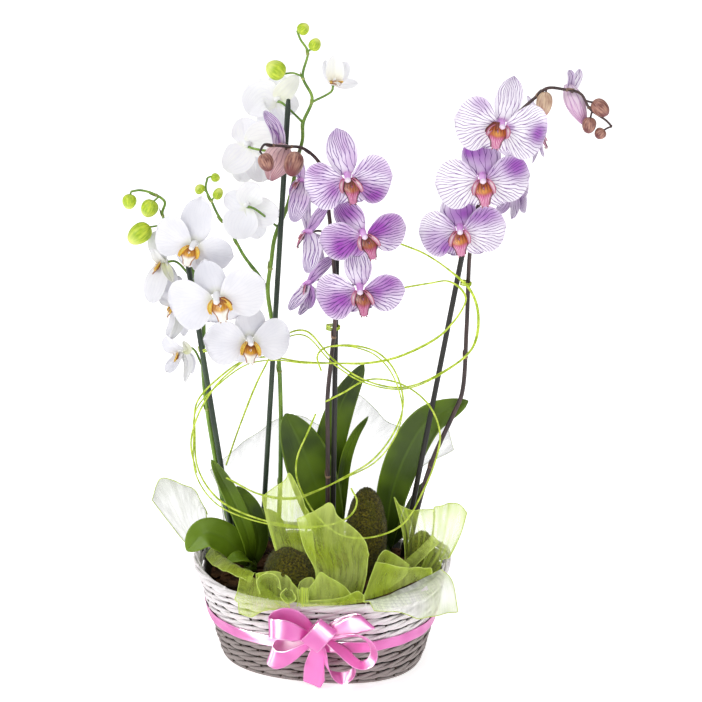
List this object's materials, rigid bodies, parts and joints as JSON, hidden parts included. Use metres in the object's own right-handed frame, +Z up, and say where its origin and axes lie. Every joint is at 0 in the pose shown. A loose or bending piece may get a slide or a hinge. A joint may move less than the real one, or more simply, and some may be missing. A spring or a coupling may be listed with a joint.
{
  "type": "moth orchid in basket",
  "caption": "Moth orchids with arched flower stems, planted in an oval wicker basket with sheer wrap, rattan canes and a ribbon bow.",
  "frame": {"origin": "middle of the flat underside of the basket, on the surface that it stands on", "axes": "+Z up along the plants, +X along the long axis of the oval basket, -Y towards the side with the bow"},
  "size_m": [0.4669, 0.2467, 0.649],
  "materials": {
    "wicker_grey": "grey-brown stained wood splints, matte",
    "wicker_white": "whitewashed wood splints, matte, wood showing through",
    "liner": "thin dark film",
    "bark": "rough bark chips",
    "ribbon": "pink satin ribbon",
    "stick_green": "dark green coated stake",
    "stick_dark": "near-black coated stake",
    "stem_green": "smooth living stem, satin",
    "stem_dark": "smooth living stem, satin",
    "leaf": "fleshy leaf, satin",
    "petal_white": "soft white petals, matte",
    "petal_striped": "pale petals with mauve veins, matte",
    "petal_pale": "pale petals with mauve veins and purple blotches, matte",
    "moss": "dry moss over a light core, rough",
    "cane": "lime dyed rattan",
    "organza_green": "sheer lime organza",
    "organza_clear": "sheer white organza and film"
  },
  "bodies": {
    "root": {"basket_base": "wicker_grey", "basket_wall_lower": "wicker_grey", "basket_wall_upper": "wicker_white", "basket_rim": "wicker_white", "liner": "liner", "bark": "bark", "ribbon_band": "ribbon", "ribbon_bow": "ribbon", "stick_front_left": "stick_green", "stick_back_left": "stick_green", "stick_middle": "stick_dark", "stick_right": "stick_dark", "stem_front_left": "stem_green", "stem_back_left": "stem_green", "stem_middle": "stem_dark", "stem_right": "stem_dark", "leaves_front_left": "leaf", "leaves_back_left": "leaf", "leaves_middle": "leaf", "leaves_right": "leaf", "bloom_white_front_top": "petal_white", "bloom_white_front_middle": "petal_white", "bloom_white_front_low": "petal_white", "bloom_white_side_top": "petal_white", "bloom_white_side_middle": "petal_white", "bloom_white_side_low": "petal_white", "bloom_white_back_tip": "petal_white", "bloom_white_back_top": "petal_white", "bloom_white_back_middle": "petal_white", "bloom_white_back_low": "petal_white", "bloom_striped_middle_top": "petal_striped", "bloom_striped_middle_centre": "petal_striped", "bloom_striped_middle_low": "petal_striped", "bloom_striped_side_top": "petal_striped", "bloom_striped_side_centre": "petal_striped", "bloom_striped_side_low": "petal_striped", "bloom_striped_half_open": "petal_striped", "bloom_pale_right_top": "petal_pale", "bloom_pale_right_middle": "petal_pale", "bloom_pale_right_low": "petal_pale", "bloom_pale_back_top": "petal_pale", "bloom_pale_back_low": "petal_pale", "bloom_pale_half_open": "petal_pale", "moss_dome": "moss", "moss_egg": "moss", "moss_ball": "moss", "cane_wide": "cane", "cane_high": "cane", "cane_oval": "cane", "cane_low": "cane", "cane_left": "cane", "wrap_tall_front": "organza_green", "wrap_right_fan": "organza_green", "wrap_right_wing": "organza_clear", "wrap_right_back": "organza_green", "wrap_front_ruffle": "organza_green", "wrap_front_peak": "organza_green", "wrap_left_band": "organza_green", "wrap_left_wing": "organza_clear", "wrap_back_film": "organza_clear"}
  },
  "joints": []
}
